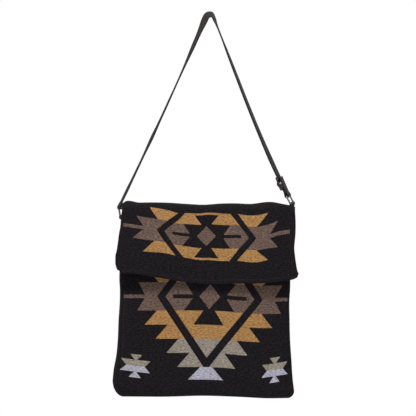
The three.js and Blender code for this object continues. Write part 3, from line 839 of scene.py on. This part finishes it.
def gusset_cloth():
    turn = np.linspace(0, pi, gusset_columns)
    behind = turn < pi / 2
    swell = np.sin(turn)[:, None] ** gusset_swell
    y = np.where(behind, back_seam_y, -seam_y) * np.cos(turn)
    rows = []
    for back_point, side, front_point in zip(back_seam, gusset_middle, front_seam):
        ends = np.where(behind[:, None], back_point, front_point)
        place = between(ends, side, swell)
        rows.append(joined(place[:, 0], y, place[:, 1]))
    across = np.linspace(0, gusset_flat[0], gusset_columns)
    along = np.linspace(0, gusset_flat[1], outline_points)
    flat = joined(*np.meshgrid(across, along))
    thickness = rim_thickness(outline_points, gusset_columns, gusset_thickness, gusset_rim)
    return cloth_piece("gusset_cloth", np.array(rows), thickness, flat, [wools[BLACK]])


# Lining: a pouch of one strip folded at the bottom

lining_rows, lining_columns = 90, 60
lining_thickness = 0.8
lining_inset = 9
lining_lift = 12
lining_drop = 4
lining_half_depth = 7.5
# How squarely the pouch opens, how open its two edges stay, and how soon it opens above its foot
lining_square = 8
lining_edge = 0.12
lining_opening = 14


def lining_cloth():
    """A pouch between the bag's sides, round at its foot and nearly closed along its two edges."""
    low = bag_foot + lining_lift
    height = mouth - lining_drop - low
    across = np.linspace(0, 1, lining_columns)
    open_share = np.clip(1 - (2 * across - 1) ** lining_square, lining_edge, 1)
    turns = np.linspace(-1, 1, lining_rows)
    grid = []
    for turn in turns:
        z = low + height * abs(turn)
        left = curve_through(left_side, z) + lining_inset
        right = curve_through(right_side, z) - lining_inset
        side = np.sign(turn) * min(1, np.sqrt(abs(turn) * lining_opening))
        grid.append(joined(between(left, right, across), lining_half_depth * side * open_share, z))
    flat = joined(*np.meshgrid(grid[0][:, 0], turns * height))
    return cloth_piece("lining_pouch", np.array(grid), lining_thickness, flat, [cotton])


# Strap, rings and tabs

strap_width = 18
strap_thickness = 2.4
bend_radius = 6.5
bend_turn = radians(30)
bend_rise = (strap_width * sin(bend_turn) + strap_thickness * cos(bend_turn)) / 2
bend_middle = np.array([2.4, 0, bend_rise - bend_radius])
bend_points = 24
ring_wire = 3
ring_opening = (19.6, 12)
ring_half_width, ring_half_height = [(opening + ring_wire) / 2 for opening in ring_opening]
ring_corner = 3.5
ring_corner_points = 9
wrap_points = 13
wrap_gap = 0.3
tab_pinch = 4.6
wrap_rise = 5
layer_gap = 0.3
tab_thickness = 1.6
tab_length = 26
tab_points = 6
slide_plate = 2
slide_bar = 2.6
slide_slot = 7.4
slide_margin = 0.6
run_points = 60
rising_sag = 1.9
falling_sag = 2.3
falling_late = 0.8
band_step = 1.2
easings = 3
section_square = 0.25
straight_right, straight_across, straight_up = np.eye(3)


def bend_contact(point, direction):
    """The angle from the top of the strap's bend at which a straight run from a point meets it."""
    reach = point - bend_middle
    return atan2(reach[0], reach[2]) - direction * acos(bend_radius / hypot(reach[0], reach[2]))


def leaning(angle):
    """An upright that leans to the right by an angle."""
    return np.array([sin(angle), 0, cos(angle)])


def on_bend(angle):
    return bend_middle + bend_radius * leaning(angle)


def bar_frame(middle, bar, lead):
    """Axes on a ring's bar: to its side, along it, and as near to the lead as it lets them be."""
    rise = unit(lead - bar * lead.dot(bar))
    return SimpleNamespace(middle=middle, bar=bar, rise=rise, side=np.cross(bar, rise))


def ring_end(side, direction, node_lean, lean, twist, tail, steep, moved):
    """A ring that hangs from its upper bar, and the frames on its two bars."""
    half = ring_half_height
    upper = node_middle(f"{side}_ring") + leaning(node_lean) * half + np.array(moved)
    upright = leaning(lean)
    bar = np.array([-sin(twist) * cos(lean), cos(twist), sin(twist) * sin(lean)])
    contact = bend_contact(upper, direction)
    return SimpleNamespace(
        side=side,
        direction=direction,
        tail=tail,
        contact=contact,
        middle=upper - upright * half,
        upright=upright,
        bar=bar,
        tab_frame=bar_frame(upper - 2 * half * upright, bar, straight_up),
        strap_frame=bar_frame(upper, bar, unit(on_bend(contact) - upper) + steep * straight_up),
    )


left_end = ring_end(
    "left", -1, radians(2.3), radians(-9), radians(16), tail=6.2, steep=0.6, moved=(-1.2, 0, -4.4)
)
right_end = ring_end(
    "right", 1, radians(-8.7), radians(-29), radians(-15), tail=32, steep=0, moved=(1.6, 0, -1.4)
)


def squarish(share):
    return np.sign(share) * np.abs(share) ** section_square


section_angles = np.linspace(0, 2 * pi, 20, endpoint=False)
band_section = joined(squarish(np.cos(section_angles)), squarish(np.sin(section_angles)))
wire_angles = np.linspace(0, 2 * pi, 14, endpoint=False)
wire_section = joined(np.cos(wire_angles), np.sin(wire_angles))


def tube_faces(stations, corners, closed=False):
    """Faces of a tube, its vertices numbered by station and corner. One that isn't closed has two caps."""
    index = np.arange(stations * corners).reshape(stations, corners)
    grid = np.concatenate([index, index[:1]]) if closed else index
    walls = quads_of(np.concatenate([grid, grid[:, :1]], axis=1)).tolist()
    return walls if closed else walls + index[[0, -1]].tolist()


def swept(name, points, across, section, material, closed=False):
    """A section, in millimetres across and out, carried along a line of points."""
    if closed:
        along = unit(np.roll(points, -1, axis=0) - np.roll(points, 1, axis=0))
    else:
        along = unit(np.gradient(points, axis=0))
    across = unit(across - along * np.sum(across * along, axis=-1, keepdims=True))
    out = np.cross(along, across)
    vertices = points[:, None] + across[:, None] * section[:, :1] + out[:, None] * section[:, 1:]
    faces = tube_faces(len(points), len(section), closed)
    piece = new_piece(name, vertices.reshape(-1, 3), faces, [material])
    lay_flat(piece, joined(section[:, 0], run_along(points)[:, None]).reshape(-1, 2))
    return piece


def band_piece(name, points, across, thickness):
    """Webbing along a line with the direction of its width, at even steps, its corners eased."""
    run = run_along(points)
    places = np.linspace(0, run[-1], int(run[-1] / band_step) + 1)
    line = at_places(places, run, points)
    for _ in range(easings):
        line[1:-1] = (line[:-2] + 2 * line[1:-1] + line[2:]) / 4
    width = unit(at_places(places, run, across))
    return swept(name, line, width, band_section * (strap_width / 2, thickness / 2), webbing)


def half_turn(radius, over):
    """Half a turn round a bar, as (side, rise) places: over it for a tab, under it for the strap."""
    angles = np.linspace(0, pi, wrap_points)
    return [(radius * cos(angle), over * radius * sin(angle)) for angle in angles]


def on_frame(axes, places):
    return np.array([axes.middle + axes.side * side + axes.rise * rise for side, rise in places])


layer_offset = (strap_thickness + layer_gap) / 2
strap_radius = ring_wire / 2 + wrap_gap + strap_thickness / 2


def doubled_end(end):
    """The strap round a ring, from its tail's tip to where it leads away."""
    tail = [(layer_offset, end.tail), (layer_offset, wrap_rise)]
    wrap = half_turn(strap_radius, -1)
    return on_frame(end.strap_frame, [*tail, *wrap, (-layer_offset, wrap_rise)])


def through_slide(end):
    """The strap up through the slide, over its middle bar and down again to its own line."""
    slide_frame = bar_frame(node_middle("strap_slide"), end.bar, end.strap_frame.rise)
    clear = (slide_plate + strap_thickness) / 2 + layer_gap
    flat_half = slide_bar / 2 + slide_margin
    slot_end = slide_bar / 2 + slide_slot - slide_margin
    places = [(clear, -slot_end), (-clear, -flat_half), (-clear, flat_half), (clear, slot_end)]
    return on_frame(slide_frame, places)


bend_start = 0.47
bend_end = 0.53
# How far the strap is turned about its own line, in degrees, by share of its length from left to right
strap_turns = [
    (0, 9), (0.03, 10), (0.05, 8), (0.08, 6.3), (0.12, 6), (0.145, 9.5), (0.165, 12),
    (0.185, 9.5), (0.21, 6), (0.255, 5.2), (0.307, 3), (0.359, 7.5), (0.384, 13), (0.41, 17),
    (0.426, 17.5), (0.441, 21), (0.452, 25), (0.462, 30), (0.49, 33), (0.51, 31),
    (0.525, 18), (0.539, 8.5), (0.551, 4.2), (0.565, 2.5), (0.58, 2.5), (0.627, 7.6),
    (0.656, 9.8), (0.714, 12), (0.773, 13), (0.89, 16), (0.95, 19), (1, 18),
]


def sagging_run(first, last, sag, late):
    """A run that bows a little towards the inside of the strap's loop, the later the lower."""
    share = np.linspace(0, 1, run_points)[1:-1, None]
    along = unit(last - first)
    inside_way = np.cross(straight_across, along)
    bow = sag * 4 * share * (1 - share) * (1 + late * (2 * share - 1))
    return between(first, last, share) + inside_way * bow


def strap_piece():
    left = doubled_end(left_end)
    right = np.concatenate([doubled_end(right_end), through_slide(right_end)])[::-1]
    angles = np.linspace(left_end.contact, right_end.contact, bend_points)
    bend = np.array([on_bend(angle) for angle in angles])
    rising = sagging_run(left[-1], bend[0], rising_sag, 0)
    falling = sagging_run(bend[-1], right[0], falling_sag, falling_late)
    middle = np.concatenate([rising, bend, falling])
    spans = ((0, bend_start, rising), (bend_start, bend_end, bend), (bend_end, 1, falling))
    shares = np.concatenate([np.linspace(first, last, len(part)) for first, last, part in spans])
    turn = np.radians(curve_through(strap_turns, shares))[:, None]
    inside_way = np.cross(straight_across, unit(np.gradient(middle, axis=0)))
    across = straight_across * np.cos(turn) - inside_way * np.sin(turn)
    left_bar = np.broadcast_to(left_end.bar, left.shape)
    right_bar = np.broadcast_to(right_end.bar, right.shape)
    points = np.concatenate([left, middle, right])
    width = np.concatenate([left_bar, across, right_bar])
    return band_piece("strap_webbing", points, width, strap_thickness)


def tab_foot(end):
    return node_box(f"{end.side}_tab")[0][2]


def tab_line(end, layer, heights):
    """Where a tab's inner (0) or outer (1) layer lies on the gusset."""
    side_line = left_side if end.direction < 0 else right_side
    out = layer_gap + tab_thickness / 2 + layer * (tab_thickness + layer_gap)
    x = bag_middle[0] + curve_through(side_line, heights) + end.direction * out
    return joined(x, 0, heights)


def tab_piece(end):
    heights = np.linspace(tab_foot(end), tab_foot(end) + tab_length, tab_points)
    wrap = half_turn(ring_wire / 2 + wrap_gap + tab_thickness / 2, 1)[:: -end.direction]
    pinch = end.direction * (tab_thickness + layer_gap) / 2
    loop = on_frame(end.tab_frame, [(-pinch, -tab_pinch), *wrap, (pinch, -tab_pinch)])
    points = np.concatenate([tab_line(end, 0, heights), loop, tab_line(end, 1, heights[::-1])])
    sewn = np.tile(straight_across, (tab_points, 1))
    across = np.concatenate([sewn, np.broadcast_to(end.bar, loop.shape), sewn])
    return band_piece(f"{end.side}_tab_webbing", points, across, tab_thickness)


def ring_piece(end):
    """A ring of round wire, bent to a rectangle with round corners."""
    places = []
    for quarter, (side, rise) in enumerate([(1, 1), (-1, 1), (-1, -1), (1, -1)]):
        for angle in np.linspace(quarter, quarter + 1, ring_corner_points) * pi / 2:
            along = side * (ring_half_width - ring_corner) + ring_corner * cos(angle)
            up = rise * (ring_half_height - ring_corner) + ring_corner * sin(angle)
            places.append(end.middle + end.bar * along + end.upright * up)
    points = np.array(places)
    face = np.broadcast_to(np.cross(end.bar, end.upright), points.shape)
    return swept(f"{end.side}_ring_wire", points, face, wire_section * ring_wire / 2, nickel, closed=True)


# Stitches: short threads along a path, each raised at its middle

stitch_pitch = 3.4
stitch_length = 2.4
thread_radius = 0.38
stitch_places = np.array([0, 0.2, 0.5, 0.8, 1])
stitch_swell = np.array([0.5, 0.9, 1, 0.9, 0.5])
stitch_corners = np.linspace(0, 2 * pi, 6, endpoint=False)[:, None]
cross_row_places = np.linspace(-8, 8, 9)[:, None]
strap_row_height = 5.8
tab_row_heights = (3, 13, 23)
hem_row_start = 0.06
side_row_points, hem_row_points = 60, 120


def stitch_row(path, out):
    """Vertices of the stitches along a path, on its outer side, by stitch and by ring of corners."""
    run = run_along(path)
    starts = np.arange(stitch_pitch / 2, run[-1] - stitch_length, stitch_pitch)
    line = at_places(starts[:, None] + stitch_places * stitch_length, run, path)
    aside = np.cross(unit(np.gradient(line, axis=1)), out)[:, :, None]
    line = line + out * (thread_radius * (stitch_swell - 0.5))[:, None]
    rings = aside * np.cos(stitch_corners) + out * np.sin(stitch_corners)
    return line[:, :, None] + rings * thread_radius * stitch_swell[:, None, None]


def stitches(name, rows, material):
    vertices = np.concatenate(rows).reshape(-1, 3)
    stations, corners = len(stitch_places), len(stitch_corners)
    shape = tube_faces(stations, corners)
    firsts = range(0, len(vertices), stations * corners)
    faces = [[first + corner for corner in face] for first in firsts for face in shape]
    piece = new_piece(name, vertices, faces, [material])
    lay_flat(piece, vertices[:, [0, 2]])
    return piece


def cross_row(middle, bar, out):
    """A row of stitches across a band, along the bar of its frame."""
    return stitch_row(middle + bar * cross_row_places, out)


def strap_end_rows(end):
    """Rows of stitches across both faces of a doubled end, above the ring's upper bar."""
    rows = []
    place = end.strap_frame
    for out in (-place.side, place.side):
        middle = place.middle + place.rise * strap_row_height + out * (layer_offset + strap_thickness / 2)
        rows.append(cross_row(middle, place.bar, out))
    return rows


def tab_rows(end):
    """Rows of stitches across the outer face of a tab."""
    out = straight_right * end.direction
    places = tab_line(end, 1, tab_foot(end) + np.array(tab_row_heights)) + out * tab_thickness / 2
    return [cross_row(place, straight_across, out) for place in places]


def hem_rows():
    """Rows of stitches in the groove along the flap's two sides and its hem."""
    side_inset = hem_depth / (flap_right[0][1] - flap_left[0][1])
    hem_inset = hem_depth / (fold_base - hem[len(hem) // 2][1])
    runs = np.linspace(hem_row_start, 1, side_row_points) * (1 - hem_inset)
    across = np.linspace(side_inset, 1 - side_inset, hem_row_points)
    sides = [flap_place(place, runs) for place in (side_inset, 1 - side_inset)]
    paths = [*sides, flap_place(across, 1 - hem_inset)]
    lift = bag_middle - straight_across * groove_thickness / 2
    return [stitch_row(path + lift, -straight_across) for path in paths]


front = front_cloth()
flap = back_and_flap_cloth()
gusset = gusset_cloth()
lining = lining_cloth()
front_fields, flap_fields = (
    [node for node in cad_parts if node.startswith(panel) and node.endswith("_field")]
    for panel in ("front_", "flap_")
)
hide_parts("front_panel", *front_fields)
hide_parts("back_panel_and_flap", *flap_fields)
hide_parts("gusset")
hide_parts("lining")
for piece, slot in (
    (front, "black_wool"),
    (flap, "black_wool"),
    (gusset, "black_wool"),
    (lining, "lining_cotton"),
):
    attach(piece, "root")

strap = strap_piece()
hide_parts("strap")
soft_fittings = [strap]
for end in (left_end, right_end):
    tab = tab_piece(end)
    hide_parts(f"{end.side}_tab")
    soft_fittings.append(tab)
    ring = ring_piece(end)
    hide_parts(f"{end.side}_ring")
    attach(ring, "root")
strap_rows = strap_end_rows(left_end) + tab_rows(left_end) + tab_rows(right_end)
soft_fittings.append(stitches("strap_stitches", strap_rows, thread))
hem_stitches = stitches("hem_stitches", hem_rows(), hem_thread)
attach(hem_stitches, "root")
for piece in soft_fittings:
    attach(piece, "root")
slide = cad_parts["strap_slide"].data
slide.materials.clear()
slide.materials.append(lacquer)


# Stage, light and camera

scene = bpy.context.scene
scene.view_settings.view_transform = "Standard"

frame_width = 665.6
camera_distance = 6000
camera_middle = Vector((-0.4, 0, -304.8))
sensor = 36
world_strength = 0.23
floor_level = -680
floor_half = 650
floor_glow = 0.4
# The lights' places and the point they are aimed at are in metres
light_target = Vector((0, 0, -0.4))


def look_at(thing, target):
    thing.rotation_euler = (target - thing.location).to_track_quat("-Z", "Y").to_euler()


def add_camera():
    data = bpy.data.cameras.new("camera")
    data.sensor_width = sensor
    data.lens = sensor * camera_distance / frame_width
    camera = bpy.data.objects.new("camera", data)
    camera.location = (camera_middle + Vector((0, front_y - camera_distance, 0))) * MM
    scene.collection.objects.link(camera)
    look_at(camera, camera_middle * MM)
    scene.camera = camera


def add_light(name, place, size, power):
    data = bpy.data.lights.new(name, "AREA")
    data.size = size
    data.energy = power
    light = bpy.data.objects.new(name, data)
    light.location = place
    scene.collection.objects.link(light)
    look_at(light, light_target)


def seen_white(nodes):
    """1 for rays from the camera, from gloss and through clear things, which see the plain white."""
    path = nodes.add("LightPath").outputs
    total = path["Is Camera Ray"]
    for name in ("Is Glossy Ray", "Is Transmission Ray"):
        total = nodes.maths("MAXIMUM", total, path[name])
    return total


def add_world():
    scene.world = bpy.data.worlds.new("studio")
    nodes = Nodes(scene.world, "Background")
    nodes.finish(Color=grey(1), Strength=nodes.ramp(seen_white(nodes), 0, 1, world_strength, 1))


def add_floor():
    """A pale floor. A faint glow lifts it to white for the camera, so that it still takes shadows."""
    nodes = material_nodes("floor_paint")
    glow = nodes.ramp(seen_white(nodes), 0, 1, 0, floor_glow)
    paint = nodes.finish(
        Base_Color=grey(0.82), Roughness=0.9, Emission_Color=grey(1), Emission_Strength=glow
    )
    sides = np.array([(-1, -1), (1, -1), (1, 1), (-1, 1)]) * floor_half
    mesh = bpy.data.meshes.new("floor")
    mesh.from_pydata([(x * MM, y * MM, floor_level * MM) for x, y in sides], [], [(0, 1, 2, 3)])
    mesh.materials.append(paint)
    floor = bpy.data.objects.new("floor", mesh)
    scene.collection.objects.link(floor)


add_camera()
add_world()
add_light("key", (-0.55, -1.15, 1.6), size=0.6, power=66)
add_light("fill", (1.4, -1.6, 0.1), size=1.2, power=4.2)
add_light("back", (0.9, 1.9, 0.8), size=1.0, power=30)
add_floor()
